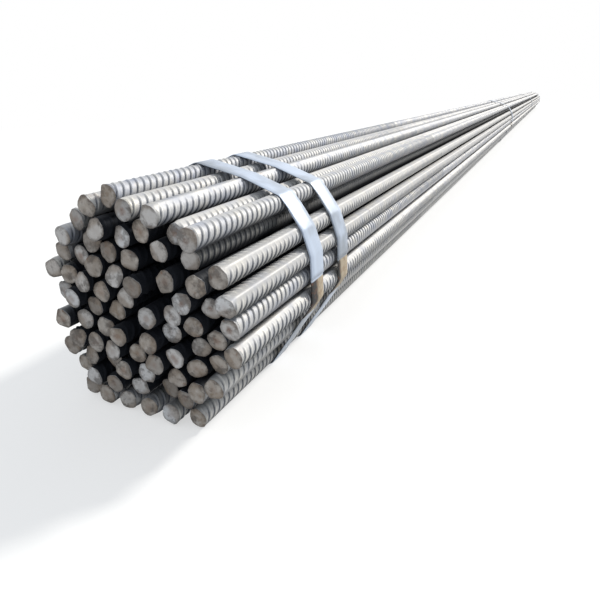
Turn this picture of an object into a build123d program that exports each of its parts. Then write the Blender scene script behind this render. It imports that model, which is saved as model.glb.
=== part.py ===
"""Bundle of ribbed steel reinforcing bars, held together by flat steel straps.

Frame: +X runs along the bars, +Z is up and the floor under the straps is Z = 0.
The end that is seen from near by is at -X. All lengths are in millimetres.
"""

import os
from math import hypot, sqrt
from random import Random

from build123d import *

# Bars of nominal 20 mm. Each solid is as thick as the bar is over its ribs.
BAR_LENGTH = 9000.0
BAR_DIAMETER = 22.0
BAR_COUNT = 80

# How the bars lie in the cross-section, in pitches of two bars that touch.
# OUTLINE_FILL is the share of the strapped outline that the bars' pitch circles
# fill, OUTLINE_FLATTENING is the outline's width over its height, and OUTLINE_BOW
# is how far its top and its bottom lie to the +Y side of its middle.
SEAT_GAP = 0.35
FLOOR_ROW_COUNT = 6
FLOOR_ROW_SPREAD = 1.23
FLOOR_ROW_SHIFT = 0.55
OUTLINE_FILL = 0.713
OUTLINE_FLATTENING = 1.06
OUTLINE_BOW = 0.8
LOOSENESS = 0.16
SCATTER = 0.9
LAY_SEED = 2066
BARS_PER_LAYER = 8

# How far the cut ends stand before or behind the mean end plane. One bar in
# DRAWN_BACK_EVERY of the inner bars lies further back.
END_STAGGER = 8.0
DRAWN_BACK = 70.0
DRAWN_BACK_EVERY = 8
INNER_REACH = 0.6

# Straps: a close pair at the near end, some along the length, one at the far end.
# A strap's two ends lap on the right side, from half the bundle's height up.
STRAP_WIDTH = 32.0
STRAP_THICKNESS = 1.0
STRAP_SEAT = 0.3
FIRST_STRAP = 143.0
SECOND_STRAP = 222.0
LAST_STRAP_INSET = 250.0
STRAPS_BETWEEN = 2
LAP_LENGTH = 80.0

BAR_RADIUS = BAR_DIAMETER / 2
BAR_PITCH = BAR_DIAMETER + SEAT_GAP
FLOOR_ROW_HEIGHT = STRAP_THICKNESS + STRAP_SEAT + BAR_RADIUS


def outline_reach(y, z):
    """How far out a bar lies, in the bundle's own units: 1 is on the outline."""
    height = sqrt(BAR_COUNT / OUTLINE_FILL / OUTLINE_FLATTENING)
    half_height = (height - 1) / 2
    half_width = (height * OUTLINE_FLATTENING - 1) / 2
    rise = (z - half_height) / half_height
    return hypot((y - OUTLINE_BOW * rise**2) / half_width, rise)


def resting_place(left, right, left_pitch, right_pitch):
    """Centre of a bar that lies on two others, at the two given centre distances."""
    dy, dz = right[0] - left[0], right[1] - left[1]
    span = hypot(dy, dz)
    if span >= left_pitch + right_pitch:
        return None
    along = (left_pitch**2 - right_pitch**2 + span**2) / (2 * span)
    rise = sqrt(max(left_pitch**2 - along**2, 0.0))
    return (left[0] + (along * dy - rise * dz) / span, left[1] + (along * dz + rise * dy) / span)


def is_clear(place, bars):
    """True where a bar at place keeps a whole pitch to all the bars laid so far."""
    rounding = 1e-9
    return all(hypot(place[0] - y, place[1] - z) > 1 - rounding for y, z in bars)


def lay_bars():
    """Centres (y, z) of all bars in bar pitches, laid one by one from the floor row up.

    Ribbed bars don't nest closely: each sits on one lower bar and leans on a second
    one at a looser gap. Low places within the outline are taken first.
    """
    draw = Random(LAY_SEED)
    first = FLOOR_ROW_SHIFT - FLOOR_ROW_SPREAD * (FLOOR_ROW_COUNT - 1) / 2
    bars = [(first + FLOOR_ROW_SPREAD * i, 0.0) for i in range(FLOOR_ROW_COUNT)]
    while len(bars) < BAR_COUNT:
        places = []
        for left in bars:
            for right in bars:
                if not 0 < right[0] - left[0] < 2 + LOOSENESS:
                    continue
                pitches = [1.0, 1.0 + LOOSENESS * draw.random()]
                draw.shuffle(pitches)
                place = resting_place(left, right, *pitches)
                if place and is_clear(place, bars):
                    height = place[1] + SCATTER * draw.random()
                    places.append((max(1.0, outline_reach(*place)), height, place))
        bars.append(min(places)[2])
    return bars


def end_shifts(bars):
    """How far each bar is pushed along X; the far end stands out by the same length."""
    draw = Random(LAY_SEED)
    shifts = []
    inner_bars = 0
    for place in bars:
        shift = draw.uniform(-END_STAGGER, END_STAGGER)
        if outline_reach(*place) < INNER_REACH:
            inner_bars += 1
            if inner_bars % DRAWN_BACK_EVERY == 0:
                shift = DRAWN_BACK
        shifts.append(shift)
    return shifts


def outermost(points):
    """Corners of the convex outline round the points, counter-clockwise."""

    def half(ordered):
        chain = []
        for y, z in ordered:
            while len(chain) > 1:
                (y0, z0), (y1, z1) = chain[-2:]
                if (y1 - y0) * (z - z0) > (z1 - z0) * (y - y0):
                    break
                chain.pop()
            chain.append((y, z))
        return chain[:-1]

    return half(sorted(points)) + half(sorted(points, reverse=True))


def band(core, inner, thickness):
    """Closed band of the given thickness, at the distance inner outside the core face."""
    return offset(core, inner + thickness) - offset(core, inner)


def make_strap(centres):
    """One strap round the bars, from X = 0 on: a closed turn and its lapped end."""
    core = Polygon(*outermost(centres), align=None)
    turn_inside = BAR_RADIUS + STRAP_SEAT
    turn = band(core, turn_inside, STRAP_THICKNESS)
    second_layer = band(core, turn_inside + STRAP_THICKNESS, STRAP_THICKNESS)
    extent = core.bounding_box()
    lapped_side = Rectangle(extent.size.X, LAP_LENGTH, align=(Align.MAX, Align.MIN))
    lapped_part = Pos(0, extent.center().Y) * lapped_side
    return extrude(Plane.YZ * (turn + (second_layer & lapped_part)), STRAP_WIDTH)


def strap_stations():
    """Near edge of each strap, measured from the mean plane of the near ends."""
    last = BAR_LENGTH - LAST_STRAP_INSET - STRAP_WIDTH
    pitch = (last - SECOND_STRAP) / (STRAPS_BETWEEN + 1)
    between = [SECOND_STRAP + pitch * (i + 1) for i in range(STRAPS_BETWEEN)]
    return [FIRST_STRAP, SECOND_STRAP, *between, last]


def build():
    """All nodes of the bundle, as a dict of name and shape, still off their origin."""
    lay = lay_bars()
    shifts = end_shifts(lay)
    centres = [(y * BAR_PITCH, FLOOR_ROW_HEIGHT + z * BAR_PITCH) for y, z in lay]
    placed = sorted(zip(centres, shifts), key=lambda bar: bar[0][1])
    bar = Rot(Y=90) * Cylinder(BAR_RADIUS, BAR_LENGTH)
    nodes = {}
    for first in range(0, BAR_COUNT, BARS_PER_LAYER):
        layer = [Pos(shift, y, z) * bar for (y, z), shift in placed[first:first + BARS_PER_LAYER]]
        nodes[f"bars_layer_{first // BARS_PER_LAYER + 1:02d}"] = Compound(layer)
    strap = make_strap(centres)
    for number, station in enumerate(strap_stations(), start=1):
        nodes[f"strap_{number}"] = Pos(station - BAR_LENGTH / 2) * strap
    return nodes


def main():
    """Write each node to its own file, with the bundle's bottom centre at the origin."""
    nodes = build()
    box = Compound(list(nodes.values())).bounding_box()
    to_origin = Pos(-box.center().X, -box.center().Y, -box.min.Z)
    os.makedirs("parts", exist_ok=True)
    for name, shape in nodes.items():
        export_step(to_origin * shape, f"parts/{name}.step")


main()
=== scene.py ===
"""Strapped bundle of ribbed reinforcing bars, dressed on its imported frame.

Every length is in metres and every piece stands where the frame has it: +X runs
along the bars, away from the end that the camera sees, and the floor is Z = 0.
"""

import logging
import math
from dataclasses import dataclass, field
from enum import Enum

import bpy
import numpy as np
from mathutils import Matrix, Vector

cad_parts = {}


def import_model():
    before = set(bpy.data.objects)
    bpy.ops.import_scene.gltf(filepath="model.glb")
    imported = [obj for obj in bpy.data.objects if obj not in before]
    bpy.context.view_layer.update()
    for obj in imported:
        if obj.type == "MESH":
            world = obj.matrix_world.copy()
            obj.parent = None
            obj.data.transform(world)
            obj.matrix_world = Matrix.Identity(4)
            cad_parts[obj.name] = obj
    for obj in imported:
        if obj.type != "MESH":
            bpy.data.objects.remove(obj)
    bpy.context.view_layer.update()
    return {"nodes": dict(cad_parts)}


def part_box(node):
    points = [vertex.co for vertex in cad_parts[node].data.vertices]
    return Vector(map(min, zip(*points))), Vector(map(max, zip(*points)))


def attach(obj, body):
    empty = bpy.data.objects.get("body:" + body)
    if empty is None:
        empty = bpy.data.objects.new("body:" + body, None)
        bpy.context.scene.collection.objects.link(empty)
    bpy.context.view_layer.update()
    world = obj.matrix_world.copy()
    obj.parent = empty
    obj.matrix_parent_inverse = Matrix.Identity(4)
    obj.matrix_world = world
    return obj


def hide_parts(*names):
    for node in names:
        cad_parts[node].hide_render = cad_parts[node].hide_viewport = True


LOG = logging.getLogger("rebar_bundle")
BODY = "root"
MM = 0.001

Colour = tuple[float, float, float, float]
Point = tuple[float, float]
WHITE: Colour = (1.0, 1.0, 1.0, 1.0)

# Where a crescent rib starts, is full, starts to fall and ends, in rib pitches.
RIB_STATIONS = (0.0, 0.15, 0.28, 0.44)


class Slot(Enum):
    """The record's material slots."""

    BAR = "bar_steel"
    STRAP = "strap_steel"


class Skin(Enum):
    """Which of a piece's finishes a face takes; the value is its material index."""

    SIDE = 0
    CUT = 1


@dataclass
class MeshDraft:
    """Vertices, faces and per-vertex values gathered before a mesh is made."""

    points: list[np.ndarray] = field(default_factory=list)
    faces: list[list[int]] = field(default_factory=list)
    skins: list[np.ndarray] = field(default_factory=list)
    creases: list[np.ndarray] = field(default_factory=list)
    values: dict[str, list[np.ndarray]] = field(default_factory=dict)
    count: int = 0

    def add(
        self, points: np.ndarray, creases: np.ndarray | int, values: dict[str, np.ndarray | float]
    ) -> int:
        """Adds vertices and their values.

        Args:
            points: one row of coordinates for each vertex.
            creases: a whole number for each vertex. An edge whose two ends have the
                same number, other than 0, is sharp.
            values: one number for each vertex, or one for them all, by name.

        Returns:
            The index of the first vertex added.
        """
        first = self.count
        self.points.append(points)
        self.creases.append(np.broadcast_to(creases, len(points)))
        for name, numbers in values.items():
            self.values.setdefault(name, []).append(np.broadcast_to(numbers, len(points)))
        self.count += len(points)
        return first

    def add_faces(self, faces: np.ndarray, skin: Skin = Skin.SIDE) -> None:
        """Adds faces, one row of vertex indices each, that take one finish."""
        self.faces.extend(faces.tolist())
        self.skins.append(np.full(len(faces), skin.value, dtype=np.int32))

    def build(self, name: str) -> bpy.types.Object:
        """Makes the object, smooth but for its sharp edges, with its values as attributes.

        Args:
            name: the piece's name.

        Returns:
            The new object, linked to the scene.
        """
        mesh = bpy.data.meshes.new(name)
        mesh.from_pydata(np.concatenate(self.points).tolist(), [], self.faces, shade_flat=False)
        mesh.polygons.foreach_set("material_index", np.concatenate(self.skins))
        creases = np.concatenate(self.creases)
        ends = np.empty(len(mesh.edges) * 2, dtype=np.int32)
        mesh.edges.foreach_get("vertices", ends)
        one, other = creases[ends[0::2]], creases[ends[1::2]]
        sharp = mesh.attributes.new("sharp_edge", "BOOLEAN", "EDGE")
        sharp.data.foreach_set("value", (one != 0) & (one == other))
        for value_name, parts in self.values.items():
            attribute = mesh.attributes.new(value_name, "FLOAT", "POINT")
            attribute.data.foreach_set("value", np.concatenate(parts).astype(np.float32))
        mesh.update()
        piece = bpy.data.objects.new(name, mesh)
        bpy.context.scene.collection.objects.link(piece)
        return piece


def ring_quads(first: int, rings: int, around: int) -> np.ndarray:
    """Quads of a tube made of closed rings that follow each other.

    Args:
        first: index of the first ring's first vertex.
        rings: how many rings there are.
        around: how many vertices one ring has.

    Returns:
        One row of four vertex indices for each quad.
    """
    row = np.arange(rings - 1)[:, None] * around + first
    here = np.arange(around)[None, :]
    there = (here + 1) % around
    corners = [row + here, row + around + here, row + around + there, row + there]
    return np.stack(corners, axis=-1).reshape(-1, 4)


def convex_outline(points: list[Point]) -> list[Point]:
    """Finds the convex outline round some points.

    Args:
        points: the (y, z) of each.

    Returns:
        The outline's corners, counter-clockwise.
    """

    def half(ordered: list[Point]) -> list[Point]:
        """One half of the outline.

        Args:
            ordered: all the points, sorted along Y one way or the other.

        Returns:
            The half's corners but for its last one, which starts the other half.
        """
        chain: list[Point] = []
        for y, z in ordered:
            while len(chain) > 1:
                (y0, z0), (y1, z1) = chain[-2:]
                if (y1 - y0) * (z - z0) > (z1 - z0) * (y - y0):
                    break
                chain.pop()
            chain.append((y, z))
        return chain[:-1]

    return half(sorted(points)) + half(sorted(points, reverse=True))


def depth_inside(outline: list[Point], places: np.ndarray) -> np.ndarray:
    """How deep places lie inside a convex outline.

    Args:
        outline: its corners, counter-clockwise.
        places: one row of (y, z) for each place.

    Returns:
        The distance to the nearest side for each place, below 0 outside.
    """
    corners = np.array(outline)
    sides = np.roll(corners, -1, axis=0) - corners
    away = places[:, None, :] - corners[None, :, :]
    across = sides[:, 0] * away[..., 1] - sides[:, 1] * away[..., 0]
    return (across / np.linalg.norm(sides, axis=1)).min(axis=1)


def eased(share: np.ndarray) -> np.ndarray:
    """Smooth step from 0 to 1, held outside that span."""
    held = np.clip(share, 0, 1)
    return held * held * (3 - 2 * held)


@dataclass
class ShaderTree:
    """Places nodes in a shader tree or node group and links them."""

    tree: bpy.types.NodeTree

    def put(self, kind: str, sockets: dict | None = None, **settings) -> bpy.types.Node:
        """Adds a node.

        Args:
            kind: the node's type.
            sockets: for inputs by name or number, a value or the output linked to them.
            settings: the node's own properties.

        Returns:
            The new node.
        """
        node = self.tree.nodes.new(kind)
        for name, value in settings.items():
            setattr(node, name, value)
        for name, value in (sockets or {}).items():
            if isinstance(value, bpy.types.NodeSocket):
                self.tree.links.new(value, node.inputs[name])
            else:
                node.inputs[name].default_value = value
        return node

    def maths(self, operation: str, *terms: object) -> bpy.types.NodeSocket:
        """Output of one Math node."""
        return self.put("ShaderNodeMath", dict(enumerate(terms)), operation=operation).outputs[0]

    def blend(self, share: object, low: object, high: object) -> bpy.types.NodeSocket:
        """Colour that goes from low to high as share goes from 0 to 1."""
        return self.put("ShaderNodeMix", {0: share, 6: low, 7: high}, data_type="RGBA").outputs[2]

    def cover(self, under: object, mask: object, share: object, over: object) -> bpy.types.NodeSocket:
        """Colour with a share of another laid over it where the mask says."""
        return self.blend(self.maths("MULTIPLY", mask, share), under, over)

    def ramp(self, value: object, span: Point, to: Point = (0.0, 1.0)) -> bpy.types.NodeSocket:
        """Value mapped from one span to another, held at both ends."""
        sockets = {0: value, 1: span[0], 2: span[1], 3: to[0], 4: to[1]}
        return self.put("ShaderNodeMapRange", sockets).outputs[0]

    def named(self, attribute: str) -> bpy.types.NodeSocket:
        """A mesh attribute's value."""
        return self.put("ShaderNodeAttribute", attribute_name=attribute).outputs["Fac"]

    def place(self) -> bpy.types.NodeSocket:
        """Position in the frame, in metres."""
        return self.put("ShaderNodeTexCoord").outputs["Object"]

    def noise(
        self, place: object, scale: object, detail: float, turn: object = 0.0
    ) -> bpy.types.NodeSocket:
        """Value of a noise texture, about 0.5 on the whole; another turn gives another pattern."""
        sockets = {"Vector": place, "W": turn, "Scale": scale, "Detail": detail, "Roughness": 0.6}
        return self.put("ShaderNodeTexNoise", sockets, noise_dimensions="4D").outputs[0]

    def bump(self, height: object) -> bpy.types.NodeSocket:
        """Normal of a surface that stands out by height, in metres."""
        return self.put("ShaderNodeBump", {"Height": height, "Distance": 1.0}).outputs["Normal"]

    def effect(self, name: str, sockets: dict) -> bpy.types.bpy_prop_collection:
        """Outputs of a shared effect group placed in this tree."""
        group = bpy.data.node_groups[name]
        return self.put("ShaderNodeGroup", sockets, node_tree=group).outputs

    def surface(self, sockets: dict) -> None:
        """Ends a material with one Principled shader that has the given inputs."""
        shader = self.put("ShaderNodeBsdfPrincipled", sockets)
        self.put("ShaderNodeOutputMaterial", {"Surface": shader.outputs[0]})


def new_material(name: str) -> tuple[bpy.types.Material, ShaderTree]:
    """Makes an empty node material.

    Args:
        name: the material's name.

    Returns:
        The material, and its tree to be filled.
    """
    material = bpy.data.materials.new(name)
    material.use_nodes = True
    material.node_tree.nodes.clear()
    return material, ShaderTree(material.node_tree)


def new_group(name: str, inputs: dict[str, float], outputs: dict[str, str]) -> ShaderTree:
    """Makes an empty node group for an effect that materials share.

    Args:
        name: the group's name.
        inputs: its inputs, all of them numbers, with their defaults.
        outputs: its outputs, each with its kind of socket.

    Returns:
        The group's tree, to be filled.
    """
    group = bpy.data.node_groups.new(name, "ShaderNodeTree")
    for socket, default in inputs.items():
        made = group.interface.new_socket(socket, in_out="INPUT", socket_type="NodeSocketFloat")
        made.default_value = default
    for socket, kind in outputs.items():
        group.interface.new_socket(socket, in_out="OUTPUT", socket_type=f"NodeSocket{kind}")
    return ShaderTree(group)


@dataclass(frozen=True)
class SteelGrain:
    """Shared effect: fine grain and slow clouds of a rolled or cut steel face."""

    name: str = "steel_grain"
    grain_detail: float = 2.0
    cloud_detail: float = 4.0
    cloud_span: Point = (0.3, 0.7)

    def make(self) -> None:
        """Builds the group: scales in 1/m, and a turn that tells the bars apart."""
        inputs = {"Fine Scale": 900.0, "Cloud Scale": 40.0, "Turn": 0.0}
        tree = new_group(self.name, inputs, {"Grain": "Float", "Cloud": "Float"})
        given, place = tree.put("NodeGroupInput").outputs, tree.place()
        grain = tree.noise(place, given["Fine Scale"], self.grain_detail)
        cloud = tree.noise(place, given["Cloud Scale"], self.cloud_detail, given["Turn"])
        tree.put("NodeGroupOutput", {"Grain": grain, "Cloud": tree.ramp(cloud, self.cloud_span)})


@dataclass(frozen=True)
class RustBloom:
    """Shared effect: patches of rust with a ragged edge and two browns."""

    name: str = "rust_bloom"
    dark: Colour = (0.085, 0.032, 0.016, 1.0)
    light: Colour = (0.33, 0.15, 0.07, 1.0)
    patch_detail: float = 5.0
    patch_level: float = -0.7
    level_per_share: float = 0.4
    edge_contrast: float = 9.0
    shade_scale: float = 6.0
    shade_detail: float = 2.0

    def make(self) -> None:
        """Builds the group: a scale in 1/m, the share that rusts and a turn."""
        inputs = {"Scale": 120.0, "Share": 0.3, "Turn": 0.0}
        tree = new_group(self.name, inputs, {"Mask": "Float", "Colour": "Color"})
        given, place = tree.put("NodeGroupInput").outputs, tree.place()
        patch = tree.noise(place, given["Scale"], self.patch_detail, given["Turn"])
        level = tree.maths("MULTIPLY_ADD", given["Share"], self.level_per_share, self.patch_level)
        mask = tree.maths("MULTIPLY", tree.maths("ADD", patch, level), self.edge_contrast)
        clipped = tree.maths("MINIMUM", tree.maths("MAXIMUM", mask, 0.0), 1.0)
        fine = tree.maths("MULTIPLY", given["Scale"], self.shade_scale)
        shade = tree.noise(place, fine, self.shade_detail)
        tree.put("NodeGroupOutput", {"Mask": clipped, "Colour": tree.blend(shade, self.dark, self.light)})


@dataclass(frozen=True)
class BarSteel:
    """Hot-rolled bar side: grey scale, worn bright on the ribs, with painted shade at their feet and among
    the bars.
    """

    hollow: Colour = (0.60, 0.58, 0.545, 1.0)
    crest: Colour = (0.74, 0.715, 0.655, 1.0)
    # painted shade: dark colour at the ribs' feet standing in for their shadows
    foot: Colour = (0.085, 0.095, 0.12, 1.0)
    scale_blue: Colour = (0.31, 0.35, 0.46, 1.0)
    # painted shade: near-black colour for the sides deep among the bars and underneath
    painted_shade_colour: Colour = (0.011, 0.013, 0.018, 1.0)
    shadow_before: Point = (0.82, 0.96)
    shadow_after: Point = (0.0, 0.15)
    turn_per_tone: float = 9.0
    worn_span: Point = (0.0, 0.8)
    worn_grain: float = 0.9
    scale_share: Point = (0.3, 0.85)
    rust_share: float = 0.35
    rib_height: float = 1.35 * MM
    grain_height: float = 0.05 * MM
    roughness: float = 0.52
    cloud_roughness: float = 0.14
    painted_shade_roughness: float = 0.3
    metallic: float = 0.22
    specular: float = 0.2

    def make(self) -> bpy.types.Material:
        """Builds the material, which draws the ribs as relief where none are modelled.

        Returns:
            The new material.
        """
        material, tree = new_material("bar_side_steel")
        tone, painted_shade_share = tree.named("tone"), tree.named("painted_shade_share")
        turn = tree.maths("MULTIPLY", tone, self.turn_per_tone)
        grain = tree.effect("steel_grain", {"Fine Scale": 1300.0, "Cloud Scale": 55.0, "Turn": turn})
        rust = tree.effect("rust_bloom", {"Scale": 70.0, "Share": 0.22, "Turn": tone})
        level, flank, relief = self.ribs(tree)
        worn = tree.maths("SUBTRACT", grain["Grain"], 0.5)
        worn = tree.maths("MULTIPLY_ADD", worn, self.worn_grain, level)
        colour = tree.blend(tree.ramp(worn, self.worn_span), self.hollow, self.crest)
        scaled = tree.ramp(tone, (0.0, 1.0), self.scale_share)
        colour = tree.cover(colour, grain["Cloud"], scaled, self.scale_blue)
        colour = tree.cover(colour, rust["Mask"], self.rust_share, rust["Colour"])
        # The ribs' painted shadows, then the painted shade among the bars and underneath, which also takes
        # away metal and gloss.
        colour = tree.blend(flank, colour, self.foot)
        colour = tree.blend(painted_shade_share, colour, self.painted_shade_colour)
        height = tree.maths("MULTIPLY", relief, self.rib_height)
        height = tree.maths("MULTIPLY_ADD", grain["Grain"], self.grain_height, height)
        rough = tree.maths("MULTIPLY_ADD", grain["Cloud"], self.cloud_roughness, self.roughness)
        rough = tree.maths("MULTIPLY_ADD", painted_shade_share, self.painted_shade_roughness, rough)
        sockets = {"Base Color": colour, "Roughness": rough, "Normal": tree.bump(height)}
        sockets["Metallic"] = tree.ramp(painted_shade_share, (0.0, 1.0), (self.metallic, 0.0))
        sockets["Specular IOR Level"] = self.specular
        tree.surface(sockets)
        return material

    def ribs(self, tree: ShaderTree) -> list[bpy.types.NodeSocket]:
        """Reads the ribs off the bar's attributes.

        Args:
            tree: the material's tree.

        Returns:
            How high a rib stands, modelled or drawn, how much painted shade lies at its foot,
            and the height of the drawn ribs alone, each from 0 to 1.
        """
        share = tree.maths("FRACT", tree.named("rib_phase"))
        foot, rise, fall, end = RIB_STATIONS
        up, down = tree.ramp(share, (foot, rise)), tree.ramp(share, (fall, end), (1.0, 0.0))
        plain = tree.maths("SUBTRACT", 1.0, tree.named("modelled"))
        drawn = tree.maths("MULTIPLY", tree.maths("MULTIPLY", up, down), plain)
        level = tree.maths("ADD", drawn, tree.named("rib_level"))
        # Painted shadows on both sides of each rib's foot.
        before, after = tree.ramp(share, self.shadow_before), tree.ramp(share, self.shadow_after, (1.0, 0.0))
        foot_shadow = tree.maths("MAXIMUM", before, after)
        crescent = tree.named("rib_crescent")
        pairs = (level, crescent), (foot_shadow, tree.named("painted_rib_shadow")), (drawn, crescent)
        return [tree.maths("MULTIPLY", *pair) for pair in pairs]


@dataclass(frozen=True)
class CutSteel:
    """Sheared bar end: matt, grey to brown from bar to bar, with spots of rust."""

    grey: Colour = (0.56, 0.515, 0.47, 1.0)
    pale: Colour = (0.80, 0.80, 0.81, 1.0)
    brown: Colour = (0.265, 0.20, 0.145, 1.0)
    stain: Colour = (0.095, 0.08, 0.07, 1.0)
    turn_per_tone: float = 30.0
    stain_turn: float = 5.0
    pale_tones: Point = (0.45, 0.95)
    brown_tones: Point = (0.0, 0.75)
    brown_share: Point = (1.0, 0.15)
    dulled_cycles: float = 13.0
    dulled_tones: Point = (0.5, 1.0)
    dulled_share: float = 0.5
    torn_share: float = 0.6
    stain_share: float = 0.7
    raggedness: float = 0.5
    dark_rim: Point = (0.7, 1.05)
    rim_share: float = 0.6
    rusty_middle: Point = (0.15, 0.5)
    middle_cycles: float = 7.0
    middle_tones: Point = (0.4, 1.0)
    middle_share: float = 0.6
    rust_share: float = 0.6
    lump_height: float = 0.9 * MM
    grain_height: float = 0.16 * MM
    roughness: float = 0.5
    grain_roughness: float = 0.2
    metallic: float = 0.1

    def make(self) -> bpy.types.Material:
        """Builds the material.

        Returns:
            The new material.
        """
        material, tree = new_material("sheared_end_steel")
        tone = tree.named("cut_tone")
        turn = tree.maths("MULTIPLY", tone, self.turn_per_tone)
        other_turn = tree.maths("ADD", turn, self.stain_turn)
        grain = tree.effect("steel_grain", {"Fine Scale": 900.0, "Cloud Scale": 150.0, "Turn": turn})
        rust = tree.effect("rust_bloom", {"Scale": 190.0, "Share": 0.24, "Turn": turn})
        stain = tree.effect("rust_bloom", {"Scale": 100.0, "Share": 0.5, "Turn": other_turn})
        colour = tree.blend(tree.ramp(tone, self.pale_tones), self.grey, self.pale)
        browned = tree.ramp(tone, self.brown_tones, self.brown_share)
        colour = tree.cover(colour, grain["Cloud"], browned, self.brown)
        dulled = self.some(tree, tone, self.dulled_cycles, self.dulled_tones, self.dulled_share)
        colour = tree.blend(dulled, colour, self.stain)
        colour = tree.cover(colour, tree.named("torn"), self.torn_share, self.brown)
        colour = tree.cover(colour, stain["Mask"], self.stain_share, self.stain)
        ragged = tree.maths("MULTIPLY", tree.maths("SUBTRACT", grain["Cloud"], 0.5), self.raggedness)
        reach = tree.maths("ADD", tree.named("from_middle"), ragged)
        colour = tree.cover(colour, tree.ramp(reach, self.dark_rim), self.rim_share, self.stain)
        chosen = self.some(tree, tone, self.middle_cycles, self.middle_tones, self.middle_share)
        middle = tree.maths("MULTIPLY", tree.ramp(reach, self.rusty_middle, (1.0, 0.0)), chosen)
        rusted = tree.maths("MAXIMUM", tree.maths("MULTIPLY", rust["Mask"], self.rust_share), middle)
        colour = tree.blend(rusted, colour, rust["Colour"])
        lumps = tree.maths("MULTIPLY", grain["Cloud"], self.lump_height)
        height = tree.maths("MULTIPLY_ADD", grain["Grain"], self.grain_height, lumps)
        rough = tree.maths("MULTIPLY_ADD", grain["Grain"], self.grain_roughness, self.roughness)
        sockets = {"Base Color": colour, "Metallic": self.metallic, "Roughness": rough}
        tree.surface(sockets | {"Normal": tree.bump(height)})
        return material

    def some(
        self, tree: ShaderTree, tone: bpy.types.NodeSocket, cycles: float, span: Point, share: float
    ) -> bpy.types.NodeSocket:
        """Picks some of the ends by their tone.

        Args:
            tree: the material's tree.
            tone: each end's own tone, from 0 to 1.
            cycles: how many times the pick repeats over that range.
            span: the part of a cycle in which it sets in.
            share: what a picked end gets.

        Returns:
            That share for a picked end, and 0 for the others.
        """
        return tree.ramp(tree.maths("FRACT", tree.maths("MULTIPLY", tone, cycles)), span, (0.0, share))


@dataclass(frozen=True)
class StrapZinc:
    """Zinc-coated strap: bright, faintly blue, scratched along its run."""

    zinc: Colour = (0.56, 0.64, 0.775, 1.0)
    dull: Colour = (0.27, 0.30, 0.34, 1.0)
    dirt: Colour = (0.44, 0.37, 0.27, 1.0)
    # painted shadow: the strap's near side below the lap is painted near black
    painted_shadow: Colour = (0.03, 0.03, 0.03, 1.0)
    dull_clouds: Point = (0.3, 0.7)
    cloud_share: float = 0.85
    scratch_scale: tuple[float, ...] = (14.0, 4.0, 1.0)
    scratch_detail: float = 2.0
    scratch_span: Point = (0.35, 0.7)
    scratch_share: float = 0.25
    dirt_and_shadow_rag: float = 0.5
    dirt_and_shadow_edge: Point = (0.35, 0.55)
    chalky_rag: float = 0.6
    chalky_edge: Point = (0.32, 0.5)
    rust_share: float = 0.4
    wave_scale: float = 28.0
    wave_detail: float = 1.0
    wave_height: float = 2.0 * MM
    grain_height: float = 0.002 * MM
    roughness: Point = (0.38, 0.46)
    dirt_and_shadow_roughness: float = 0.3
    metallic: Point = (0.45, 0.1)

    def make(self) -> bpy.types.Material:
        """Builds the material; one value says where beige dirt, with a painted shadow on its near side,
        covers the zinc.

        Returns:
            The new material.
        """
        material, tree = new_material("strap_zinc")
        grain = tree.effect("steel_grain", {"Fine Scale": 1500.0, "Cloud Scale": 11.0, "Turn": 2.0})
        rust = tree.effect("rust_bloom", {"Scale": 160.0, "Share": 0.5, "Turn": 4.0})
        across = tree.named("across")
        strip = tree.put("ShaderNodeCombineXYZ", {0: across, 1: tree.named("run")}).outputs[0]
        strip = tree.put("ShaderNodeVectorMath", {0: strip, 1: self.scratch_scale}, operation="MULTIPLY")
        scratch = tree.ramp(tree.noise(strip.outputs[0], 1.0, self.scratch_detail), self.scratch_span)
        clouded = tree.ramp(grain["Cloud"], self.dull_clouds, (0.0, self.cloud_share))
        colour = tree.blend(clouded, self.zinc, self.dull)
        colour = tree.cover(colour, scratch, self.scratch_share, self.dull)
        rag = tree.maths("SUBTRACT", grain["Cloud"], 0.5)
        dirt_and_shadow = tree.maths("MULTIPLY_ADD", rag, self.dirt_and_shadow_rag, tree.named("dirt_and_shadow"))
        dirt_and_shadow = tree.ramp(dirt_and_shadow, self.dirt_and_shadow_edge)
        # Beige dirt across the far side, painted shadow on the near side.
        chalky = tree.ramp(tree.maths("MULTIPLY_ADD", rag, self.chalky_rag, across), self.chalky_edge)
        dirt = tree.blend(chalky, self.painted_shadow, self.dirt)
        dirt = tree.cover(dirt, rust["Mask"], self.rust_share, rust["Colour"])
        colour = tree.blend(dirt_and_shadow, colour, dirt)
        wave = tree.noise(tree.place(), self.wave_scale, self.wave_detail)
        wave = tree.maths("MULTIPLY", wave, self.wave_height)
        height = tree.maths("MULTIPLY_ADD", grain["Grain"], self.grain_height, wave)
        rough = tree.ramp(scratch, (0.0, 1.0), self.roughness)
        rough = tree.maths("MULTIPLY_ADD", dirt_and_shadow, self.dirt_and_shadow_roughness, rough)
        metal = tree.ramp(dirt_and_shadow, (0.0, 1.0), self.metallic)
        sockets = {"Base Color": colour, "Metallic": metal, "Roughness": rough}
        tree.surface(sockets | {"Normal": tree.bump(height)})
        return material


@dataclass(frozen=True)
class BarAxis:
    """One bar as the frame has it: its centre line, its end planes and its number."""

    y: float
    z: float
    near: float
    far: float
    number: int


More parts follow.
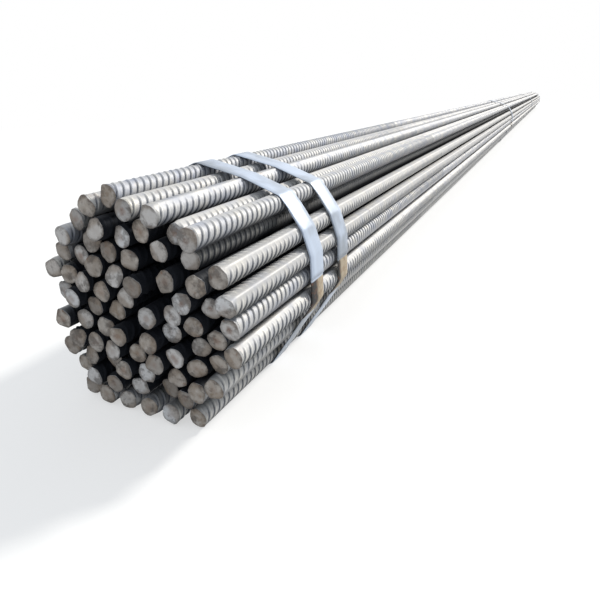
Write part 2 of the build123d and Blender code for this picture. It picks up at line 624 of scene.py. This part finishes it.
def bar_axes(node: bpy.types.Object, first_number: int) -> list[BarAxis]:
    """Finds the round bars along X that a node of the frame holds.

    Args:
        node: the frame's object.
        first_number: the number of the node's first bar.

    Returns:
        One axis for each bar.
    """
    same_bar = 2 * MM
    mesh = node.data
    points = np.array([vertex.co for vertex in mesh.vertices])
    edges = np.array([edge.vertices for edge in mesh.edges])
    shell = np.arange(len(points))
    settled = False
    while not settled:
        least = shell[edges].min(axis=1)
        spread = shell.copy()
        np.minimum.at(spread, edges[:, 0], least)
        np.minimum.at(spread, edges[:, 1], least)
        settled = bool((spread == shell).all())
        shell = spread
    bars: list[tuple[np.ndarray, list[np.ndarray]]] = []
    for label in np.unique(shell):
        part = points[shell == label]
        centre = (part.min(0) + part.max(0))[1:] / 2
        known = [parts for middle, parts in bars if np.hypot(*(middle - centre)) < same_bar]
        if known:
            known[0].append(part)
        else:
            bars.append((centre, [part]))
    axes = []
    for number, (centre, parts) in enumerate(bars, start=first_number):
        xs = np.concatenate(parts)[:, 0]
        axes.append(BarAxis(*centre.tolist(), float(xs.min()), float(xs.max()), number))
    return axes


@dataclass
class CutEnd:
    """One sheared end: pressed out of round, tilted and broken along a fold."""

    angles: np.ndarray
    draw: np.random.Generator
    rim: float = 10.85 * MM
    shares: tuple[float, ...] = (1.0, 0.94, 0.80, 0.56, 0.28)
    out_of_round: float = 0.06
    flats: tuple[int, int] = (3, 5)
    flat_reach: Point = (0.79, 0.95)
    least_facing: float = 0.3
    steepest_tilt: float = 0.14
    fold_slope: Point = (0.05, 0.4)
    fold_reach: float = 0.5
    rim_rounding: float = 0.9 * MM
    unevenness: float = 0.07 * MM
    fold_blend: float = 2.5 * MM
    radius: np.ndarray = field(init=False)
    depth: np.ndarray = field(init=False)
    torn: np.ndarray = field(init=False)

    def __post_init__(self) -> None:
        """Draws the rings of the face: radius, depth inside the end plane, share torn off."""
        draw, angles = self.draw, self.angles
        squash = draw.uniform(0, self.out_of_round)
        outline = self.rim * (1 - squash * (1 + np.cos(2 * (angles - draw.uniform(0, math.pi)))))
        for _ in range(draw.integers(*self.flats, endpoint=True)):
            chord = self.rim * draw.uniform(*self.flat_reach)
            facing = np.cos(angles - draw.uniform(0, math.tau))
            outline = np.minimum(outline, chord / np.maximum(facing, self.least_facing))
        self.radius = outline[None, :] * np.array(self.shares)[:, None]
        tilt, fold = draw.uniform(0, self.steepest_tilt), draw.uniform(*self.fold_slope)
        tilt_way, fold_way = draw.uniform(0, math.tau, 2)
        tilted = tilt * self.radius * np.cos(angles - tilt_way)[None, :]
        past_fold = self.radius * np.cos(angles - fold_way)[None, :]
        past_fold -= self.rim * draw.uniform(0, self.fold_reach)
        self.torn = np.clip(past_fold / self.fold_blend, 0, 1)
        depth = tilted + fold * np.maximum(past_fold, 0)
        depth += draw.normal(0, self.unevenness, self.radius.shape)
        depth[0] += self.rim_rounding / 2
        self.depth = depth - depth.min()


@dataclass
class RibbedBar:
    """A hot-rolled bar with two long ribs and two rows of crescent ribs.

    The frame's solid is as thick as the bar over its ribs, so the crescents reach
    that size and the core lies within it.
    """

    over_ribs: float = 11.0 * MM
    core: float = 9.65 * MM
    long_rib_height: float = 1.0 * MM
    long_rib_top: float = math.radians(5.5)
    long_rib_foot: float = math.radians(14.0)
    steps_between: int = 8
    rib_pitch: float = 9.0 * MM
    rib_lean: float = 6.5 * MM
    rib_levels: tuple[float, ...] = (0.0, 1.0, 1.0, 0.0)
    plain_level: float = 0.7
    plain_overlap: Point = (0.2, 0.3)
    crescent_start: float = 0.3
    crescent_power: float = 0.6
    outer_run: float = 0.95
    inner_run: float = 0.13
    far_run: float = 0.1
    cut_depth: float = 7.0 * MM
    press_power: float = 1.5
    squeeze: float = 0.27 * MM
    usual_turn: float = math.radians(66)
    turn_spread: float = math.radians(24)
    odd_share: float = 0.25
    outer_reach: float = 16.5 * MM
    # Painted shade: the sides darken with depth among the bars and on their undersides, near the bundle's
    # ends and not where a bar stands out.
    open_depth: float = -1.5 * MM
    dark_depth: float = 17.0 * MM
    bare_run: Point = (9.0 * MM, 25.0 * MM)
    painted_shade_run: Point = (0.15, 0.55)
    underside: Point = (-0.85, -0.1)
    underside_share: float = 0.82
    # Painted shadows at the ribs' feet, weaker away from the ends and on top, where the light falls.
    far_shadow_share: float = 0.6
    full_crescent: float = 0.8
    lit_top: Point = (0.45, 0.98)
    lit_top_share: float = 0.85

    def angles(self) -> np.ndarray:
        """Angles of one ring's vertices, closer together at the two long ribs.

        Returns:
            The angles in radians, from the first long rib on.
        """
        span = math.pi - 2 * self.long_rib_foot
        steps = [self.long_rib_foot + span * k / self.steps_between for k in range(self.steps_between + 1)]
        half = np.array([-self.long_rib_top, self.long_rib_top, *steps])
        return np.concatenate([half, half + math.pi])

    def section(self) -> tuple[np.ndarray, np.ndarray, np.ndarray]:
        """The bar's cross-section, for each angle.

        Returns:
            The core's radius with the long ribs, the crescent's share of its full
            height, and how far a crescent leans along the bar, from -1 to 1.
        """
        angles = self.angles()
        folded = np.abs((angles + math.pi) % math.tau - math.pi)
        from_long_rib = np.minimum(folded, math.pi - folded)
        on_top = from_long_rib < (self.long_rib_top + self.long_rib_foot) / 2
        core = np.where(on_top, self.core + self.long_rib_height, self.core)
        rise = np.clip((np.sin(folded) - self.crescent_start) / (1 - self.crescent_start), 0, 1)
        return core, rise**self.crescent_power, 1 - 2 * folded / math.pi

    def turn(self, draw: np.random.Generator) -> float:
        """How the bar is rolled about its own axis.

        Args:
            draw: the bar's own random numbers.

        Returns:
            The angle in radians. Most bars have one much like the others'.
        """
        if draw.random() < self.odd_share:
            return draw.uniform(0, math.pi)
        return draw.normal(self.usual_turn, self.turn_spread)

    def add_to(self, draft: MeshDraft, axis: BarAxis, outline: list[Point], ends: Point) -> None:
        """Adds one whole bar to a mesh.

        Args:
            draft: the mesh being gathered.
            axis: where the bar lies.
            outline: convex outline of all the bars' centres.
            ends: the bundle's end planes. A bar that stands out of them has no painted shade there.
        """
        outer = depth_inside(outline, np.array([[axis.y, axis.z]]))[0] < self.outer_reach
        draw = np.random.default_rng(axis.number)
        angles = self.angles() + self.turn(draw)
        tone, near_tone, far_tone = draw.uniform(0, 1, 3)
        near_cut, far_cut = (CutEnd(angles, draw) for _ in range(2))
        core, crescent, lean = self.section()
        length = axis.far - axis.near

        start = -self.rib_lean - draw.uniform(0, self.rib_pitch)
        ribs = math.ceil((length + self.rib_lean - start) / self.rib_pitch)
        near_ribs = int((self.outer_run if outer else self.inner_run) / self.rib_pitch)
        far_ribs = int(self.far_run / self.rib_pitch)
        modelled_ribs = np.concatenate([np.arange(near_ribs), np.arange(ribs - far_ribs, ribs)])
        stations = (modelled_ribs[:, None] + np.array(RIB_STATIONS)).ravel()
        levels = np.tile(self.rib_levels, len(modelled_ribs))
        cut_in = near_ribs * len(RIB_STATIONS)
        plain = [near_ribs - self.plain_overlap[0], ribs - far_ribs - self.plain_overlap[1]]
        stations = np.insert(stations, cut_in, plain)
        levels = np.insert(levels, cut_in, [self.plain_level] * 2)
        modelled = np.insert(np.ones(len(stations) - 2), cut_in, [0.0, 0.0])

        centre = (start + stations * self.rib_pitch)[:, None]
        steps = self.squeeze * np.arange(len(stations))[:, None]
        near_rim = near_cut.depth[0] + near_cut.rim_rounding
        far_rim = length - far_cut.depth[0] - far_cut.rim_rounding
        depth = np.clip(centre + self.rib_lean * lean, near_rim + steps, far_rim - steps[::-1])
        radius = core + (self.over_ribs - self.core) * crescent * levels[:, None]
        for cut, from_cut in ((near_cut, depth - near_rim), (far_cut, far_rim - depth)):
            pressed = np.clip(1 - from_cut / self.cut_depth, 0, 1) ** self.press_power
            radius = radius * (1 - pressed) + np.minimum(cut.radius[0], radius) * pressed

        rings, around = depth.shape
        feet = np.where(levels == 0, np.arange(rings) + 1 + draft.count, 0)
        points = self.placed(axis, angles, axis.near + depth, radius)
        from_end = np.minimum(depth, length - depth).ravel()
        # Painted shade among the bars and underneath, fading away from the ends and where a bar stands out.
        under = np.interp(np.sin(angles), self.underside, (self.underside_share, 0.0))
        painted_shade_share = np.maximum(self.painted_shade_share(points, outline), np.tile(under, rings))
        painted_shade_share *= np.interp(from_end, self.painted_shade_run, (1.0, 0.0))
        standing_out = np.maximum(ends[0] - points[:, 0], points[:, 0] - ends[1])
        painted_shade_share *= np.interp(standing_out, self.bare_run, (1.0, 0.0))
        leaned_back = (depth - start - self.rib_lean * lean) / self.rib_pitch
        # Painted shadows at the ribs' feet, lighter on top where the light falls.
        painted_shadow = np.clip(crescent / self.full_crescent, 0, 1)
        painted_shadow = painted_shadow * (1 - np.interp(np.sin(angles), self.lit_top, (0.0, self.lit_top_share)))
        painted_shadow = np.tile(painted_shadow, rings) * np.interp(from_end, self.painted_shade_run, (1.0, self.far_shadow_share))
        first = draft.add(
            points,
            np.repeat(feet, around),
            {
                "painted_shade_share": painted_shade_share,
                "painted_rib_shadow": painted_shadow,
                "rib_level": np.repeat(levels * modelled, around),
                "rib_phase": leaned_back.ravel(),
                "rib_crescent": np.tile(crescent, rings),
                "modelled": np.repeat(modelled, around),
                "tone": tone,
                "cut_tone": near_tone,
                "from_middle": 1.0,
                "torn": 0.0,
            },
        )
        draft.add_faces(ring_quads(first, rings, around))
        last = first + (rings - 1) * around
        self.close(draft, axis, near_cut, first, near_tone)
        self.close(draft, axis, far_cut, last, far_tone, at_far_end=True)

    def painted_shade_share(self, points: np.ndarray, outline: list[Point]) -> np.ndarray:
        """How deep among the other bars points lie, from 0 outside to 1 in the dark, as a share of painted
        shade.
        """
        depth = depth_inside(outline, points[:, 1:])
        return eased((depth - self.open_depth) / (self.dark_depth - self.open_depth))

    def placed(
        self, axis: BarAxis, angles: np.ndarray, x: np.ndarray, radius: np.ndarray
    ) -> np.ndarray:
        """Places the vertices of rings round a bar.

        Args:
            axis: where the bar lies.
            angles: one ring's angles.
            x: for each ring and angle, the place along X.
            radius: for each ring and angle, the distance from the axis.

        Returns:
            One row of coordinates for each vertex, ring by ring.
        """
        y = axis.y + radius * np.cos(angles)
        z = axis.z + radius * np.sin(angles)
        return np.stack([x.ravel(), y.ravel(), z.ravel()], axis=-1)

    def close(
        self,
        draft: MeshDraft,
        axis: BarAxis,
        cut: CutEnd,
        side_ring: int,
        tone: float,
        at_far_end: bool = False,
    ) -> None:
        """Adds a cut face and joins it to the bar's side.

        Args:
            draft: the mesh being gathered.
            axis: where the bar lies.
            cut: the face's shape.
            side_ring: index of the first vertex of the side's outermost ring.
            tone: the cut's own tone, from 0 to 1.
            at_far_end: whether the face looks along +X.
        """
        rings, around = cut.radius.shape
        x = axis.far - cut.depth if at_far_end else axis.near + cut.depth
        points = self.placed(axis, cut.angles, x, cut.radius)
        middle = points[-around:].mean(axis=0, keepdims=True)
        side_only = ("painted_shade_share", "painted_rib_shadow", "rib_level", "rib_phase", "rib_crescent")
        values = dict.fromkeys(side_only, 0.0) | {"modelled": 1.0, "tone": 0.5, "cut_tone": tone}
        values["from_middle"] = np.append(np.repeat(cut.shares, around), 0.0)
        values["torn"] = np.append(cut.torn, cut.torn[-1].mean())
        first = draft.add(np.concatenate([points, middle]), 0, values)
        here = np.arange(around)
        there = (here + 1) % around
        inner = first + (rings - 1) * around
        joint = np.stack([side_ring + here, side_ring + there, first + there, first + here], axis=-1)
        disc = ring_quads(first, rings, around)[:, ::-1]
        fan = np.stack([inner + here, inner + there, np.full(around, first + len(points))], axis=-1)
        if at_far_end:
            joint, disc, fan = joint[:, ::-1], disc[:, ::-1], fan[:, ::-1]
        draft.add_faces(joint, Skin.SIDE)
        draft.add_faces(disc, Skin.CUT)
        draft.add_faces(fan, Skin.CUT)


@dataclass
class BarStack:
    """All the bars, in the frame's layers, from the floor up."""

    nodes: dict[str, bpy.types.Object]
    bar: RibbedBar = field(default_factory=RibbedBar)
    layers: dict[str, list[BarAxis]] = field(init=False)
    outline: list[Point] = field(init=False)
    ends: Point = field(init=False)

    def __post_init__(self) -> None:
        """Finds every bar, the convex outline of their centres and the bundle's end planes."""
        self.layers = {}
        count = 0
        for name in sorted(node for node in self.nodes if node.startswith("bars_layer_")):
            self.layers[name] = bar_axes(self.nodes[name], count)
            count += len(self.layers[name])
        bars = [bar for layer in self.layers.values() for bar in layer]
        self.outline = convex_outline([(bar.y, bar.z) for bar in bars])
        near, far = np.median([(bar.near, bar.far) for bar in bars], axis=0)
        self.ends = (float(near), float(far))

    def build(self, side: bpy.types.Material, cut: bpy.types.Material) -> None:
        """Builds one piece for each layer and lets it stand for the layer's node.

        Args:
            side: finish of the bars' sides.
            cut: finish of their ends.
        """
        for node, bars in self.layers.items():
            draft = MeshDraft()
            for bar in bars:
                self.bar.add_to(draft, bar, self.outline, self.ends)
            piece = draft.build(f"ribbed_{node}")
            piece.data.materials.append(side)
            piece.data.materials.append(cut)
            hand_over(piece, node)


@dataclass
class Strap:
    """One flat strap, wound once round the bars with its two ends lapped."""

    node: str
    near: float
    outline: list[Point]
    bar_radius: float = 11.0 * MM
    seat: float = 0.3 * MM
    thickness: float = 1.0 * MM
    width: float = 32.0 * MM
    edge: float = 0.3 * MM
    lap: float = 80.0 * MM
    lap_gap: float = 0.03 * MM
    tail: float = 4.0 * MM
    climb: float = 14.0 * MM
    turn_step: float = math.radians(6)
    run_step: float = 6.0 * MM
    lap_side: float = -0.3
    # Where dirt and, on the near side, a painted shadow cover the strap past the lap's end.
    dirt_and_shadow_run: Point = (3.0 * MM, 52.0 * MM)
    dirt_and_shadow_fade: Point = (2.0 * MM, 6.0 * MM)
    face_steps: tuple[float, ...] = (0.25, 0.5, 0.75)

    def loop(self) -> tuple[np.ndarray, np.ndarray]:
        """Samples of the outline, counter-clockwise seen with +Y to the right.

        Returns:
            Points on the outline of the bars' centres, and the way outwards there.
        """
        corners = [Vector(corner) for corner in self.outline]
        feet, ways = [], []
        for before, here, after in zip(corners[-1:] + corners[:-1], corners, corners[1:] + corners[:1]):
            first, last = ((end - start).normalized() for start, end in ((before, here), (here, after)))
            bend = math.atan2(first.x * last.y - first.y * last.x, first.dot(last))
            heading = math.atan2(first.y, first.x) - math.pi / 2
            for share in np.linspace(0, 1, max(2, math.ceil(bend / self.turn_step) + 1)):
                feet.append(here)
                ways.append(heading + bend * share)
            steps = int((after - here).length / self.run_step)
            for step in range(1, steps):
                feet.append(here.lerp(after, step / steps))
                ways.append(heading + bend)
        ways = np.array(ways)
        return np.array(feet), np.stack([np.cos(ways), np.sin(ways)], axis=-1)

    def route(self) -> tuple[np.ndarray, np.ndarray, np.ndarray, np.ndarray]:
        """Samples along the strap, from its inner end to its outer one.

        Returns:
            The inner face's points, the way outwards, the distance run and how much dirt and painted shadow
            lie there.
        """
        feet, ways = self.loop()
        inner_face = self.bar_radius + self.seat
        heights = feet[:, 1]
        middle = (heights.min() + heights.max()) / 2
        on_lap_side = ways[:, 0] < self.lap_side
        above_middle = (feet + ways * inner_face)[:, 1] - middle
        missed = (np.abs(above_middle - self.lap + self.tail), np.abs(above_middle))
        start, stop = (np.argmin(np.where(on_lap_side, miss, np.inf)) for miss in missed)
        count = len(feet)
        order = np.arange(start, start + count + (stop - start) % count + 1) % count
        feet, ways = feet[order], ways[order]
        line = feet + ways * inner_face
        run = np.concatenate([[0.0], np.cumsum(np.linalg.norm(np.diff(line, axis=0), axis=1))])
        lifted = eased((run - run[count]) / self.climb + 1)
        line = line + ways * (lifted * self.thickness)[:, None]
        lap_end = run[-1] - run[count]
        low, high = lap_end + self.dirt_and_shadow_run[0], lap_end + self.dirt_and_shadow_run[1]
        fade_in, fade_out = self.dirt_and_shadow_fade
        dirt_and_shadow = eased((run - low) / fade_in + 1) * eased((high - run) / fade_out)
        return line, ways, run, dirt_and_shadow * (run < run[-1] / 2)

    def build(self, finish: bpy.types.Material) -> None:
        """Builds the strap and lets it stand for its node.

        Args:
            finish: the strap's one finish.
        """
        line, ways, run, dirt_and_shadow = self.route()
        edge, top, width = self.edge, self.thickness - self.lap_gap, self.width
        steps = [width * share for share in self.face_steps]
        section = [(0, edge), (0, top - edge), (edge, top), *((step, top) for step in steps)]
        section += [(width - edge, top), (width, top - edge), (width, edge), (width - edge, 0)]
        section = np.array(section + [(step, 0) for step in reversed(steps)] + [(edge, 0)])
        across, height = section[:, 0], section[:, 1]
        x = np.broadcast_to(self.near + across, (len(run), len(section)))
        sides = line[:, None, :] + ways[:, None, :] * height[None, :, None]
        points = np.concatenate([x[..., None], sides], axis=-1).reshape(-1, 3)
        draft = MeshDraft()
        values = {
            "across": np.tile(across / width, len(run)),
            "run": np.repeat(run, len(section)),
            "dirt_and_shadow": np.repeat(dirt_and_shadow, len(section)),
        }
        around = len(section)
        draft.add(points, 0, values)
        draft.add_faces(ring_quads(0, len(run), around))
        draft.add_faces(np.arange(around)[None, :])
        draft.add_faces((np.arange(around) + (len(run) - 1) * around)[None, ::-1])
        piece = draft.build(f"zinc_{self.node}")
        piece.data.materials.append(finish)
        hand_over(piece, self.node)


def hand_over(piece: bpy.types.Object, node: str) -> None:
    """Puts a piece in its node's place, on the bundle's one body, and reports it.

    Args:
        piece: the finished piece.
        node: the frame's node that it stands for.
    """
    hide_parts(node)
    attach(piece, BODY)
    LOG.info("%s stands for %s: %d faces", piece.name, node, len(piece.data.polygons))


@dataclass
class Studio:
    """Pale floor, soft light and the camera of the photograph."""

    near_end: float
    floor_size: float = 60.0
    floor_colour: Colour = (0.45, 0.45, 0.45, 1.0)
    floor_roughness: float = 0.9
    floor_lift: float = 0.57
    fade: Point = (0.5, 3.5)
    fill_colour: Colour = (0.86, 0.93, 1.0, 1.0)
    fill: float = 0.62
    key: float = 3.3
    key_colour: tuple[float, float, float] = (1.0, 0.965, 0.90)
    key_width: float = math.radians(9)
    key_height: float = math.radians(36)
    key_side: float = math.radians(-28)
    camera_back: float = 0.3266
    camera_side: float = -0.3196
    camera_height: float = 0.3084
    view_left: float = math.radians(24.92)
    view_down: float = math.radians(22.76)
    lens: float = 30.6
    sensor: float = 36.0
    clip: Point = (0.01, 200.0)

    def build(self) -> None:
        """Builds everything that isn't part of the bundle."""
        self.make_world()
        self.make_floor()
        self.make_key()
        self.make_camera()

    def seen(self, tree: ShaderTree) -> bpy.types.NodeSocket:
        """Tells the rays that show the background from the rest.

        Args:
            tree: the tree of the world or the floor.

        Returns:
            1 for camera, glossy and transmission rays, and 0 for others.
        """
        path = tree.put("ShaderNodeLightPath").outputs
        gloss = tree.maths("MAXIMUM", path["Is Glossy Ray"], path["Is Transmission Ray"])
        return tree.maths("MAXIMUM", path["Is Camera Ray"], gloss)

    def make_world(self) -> None:
        """White where it is seen, and a plain fill light elsewhere."""
        world = bpy.data.worlds.new("studio")
        bpy.context.scene.world = world
        world.use_nodes = True
        world.node_tree.nodes.clear()
        tree = ShaderTree(world.node_tree)
        fill = tree.put("ShaderNodeBackground", {"Color": self.fill_colour, "Strength": self.fill})
        white = tree.put("ShaderNodeBackground", {"Color": WHITE, "Strength": 1.0})
        shaders = {1: fill.outputs[0], 2: white.outputs[0]}
        mixed = tree.put("ShaderNodeMixShader", {0: self.seen(tree)} | shaders)
        tree.put("ShaderNodeOutputWorld", {"Surface": mixed.outputs[0]})

    def make_floor(self) -> None:
        """A wide pale floor that keeps the bundle's shadow and fades to white around it."""
        half = self.floor_size / 2
        mesh = bpy.data.meshes.new("floor")
        corners = [(-half, -half, 0), (half, -half, 0), (half, half, 0), (-half, half, 0)]
        mesh.from_pydata(corners, [], [(0, 1, 2, 3)])
        floor = bpy.data.objects.new("floor", mesh)
        bpy.context.scene.collection.objects.link(floor)
        material, tree = new_material("pale_floor")
        place = tree.put("ShaderNodeSeparateXYZ", {0: tree.place()}).outputs
        beyond = tree.maths("ADD", tree.maths("ABSOLUTE", place[0]), self.near_end)
        beyond = tree.maths("POWER", tree.maths("MAXIMUM", beyond, 0.0), 2.0)
        away = tree.maths("SQRT", tree.maths("ADD", beyond, tree.maths("POWER", place[1], 2.0)))
        seen = self.seen(tree)
        lift = tree.maths("MULTIPLY", seen, self.floor_lift)
        sockets = {"Base Color": self.floor_colour, "Roughness": self.floor_roughness}
        sockets |= {"Specular IOR Level": 0.0, "Emission Color": WHITE, "Emission Strength": lift}
        pale = tree.put("ShaderNodeBsdfPrincipled", sockets)
        white = tree.put("ShaderNodeEmission", {"Color": WHITE, "Strength": 1.0})
        share = tree.maths("MULTIPLY", seen, tree.ramp(away, self.fade))
        mixed = tree.put("ShaderNodeMixShader", {0: share, 1: pale.outputs[0], 2: white.outputs[0]})
        tree.put("ShaderNodeOutputMaterial", {"Surface": mixed.outputs[0]})
        mesh.materials.append(material)

    def make_key(self) -> None:
        """One broad soft light from beyond the far end, a little to the right."""
        light = bpy.data.lights.new("key", "SUN")
        light.energy = self.key
        light.color = self.key_colour
        light.angle = self.key_width
        key = bpy.data.objects.new("key", light)
        level = math.cos(self.key_height)
        away = (level * math.cos(self.key_side), level * math.sin(self.key_side), math.sin(self.key_height))
        key.rotation_euler = Vector(away).to_track_quat("Z", "Y").to_euler()
        bpy.context.scene.collection.objects.link(key)

    def make_camera(self) -> None:
        """The photograph's viewpoint, in front of the near end, right of it and above."""
        data = bpy.data.cameras.new("photo")
        data.lens = self.lens
        data.sensor_width = self.sensor
        data.clip_start, data.clip_end = self.clip
        camera = bpy.data.objects.new("photo", data)
        camera.location = (self.near_end - self.camera_back, self.camera_side, self.camera_height)
        level = math.cos(self.view_down)
        ahead, aside = level * math.cos(self.view_left), level * math.sin(self.view_left)
        way = (ahead, aside, -math.sin(self.view_down))
        camera.rotation_euler = Vector(way).to_track_quat("-Z", "Y").to_euler()
        bpy.context.scene.collection.objects.link(camera)
        bpy.context.scene.camera = camera


def main() -> None:
    """Builds the studio, the bars and the straps on the frame, in that order."""
    logging.basicConfig(level=logging.INFO, format="%(name)s: %(message)s")
    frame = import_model()
    bpy.context.scene.view_settings.view_transform = "Standard"

    stack = BarStack(frame["nodes"])
    Studio(near_end=stack.ends[0]).build()

    SteelGrain().make()
    RustBloom().make()
    stack.build(BarSteel().make(), CutSteel().make())
    zinc = StrapZinc().make()
    for name in sorted(node for node in frame["nodes"] if node.startswith("strap_")):
        Strap(name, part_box(name)[0].x, stack.outline).build(zinc)


if __name__ == "__main__":
    main()
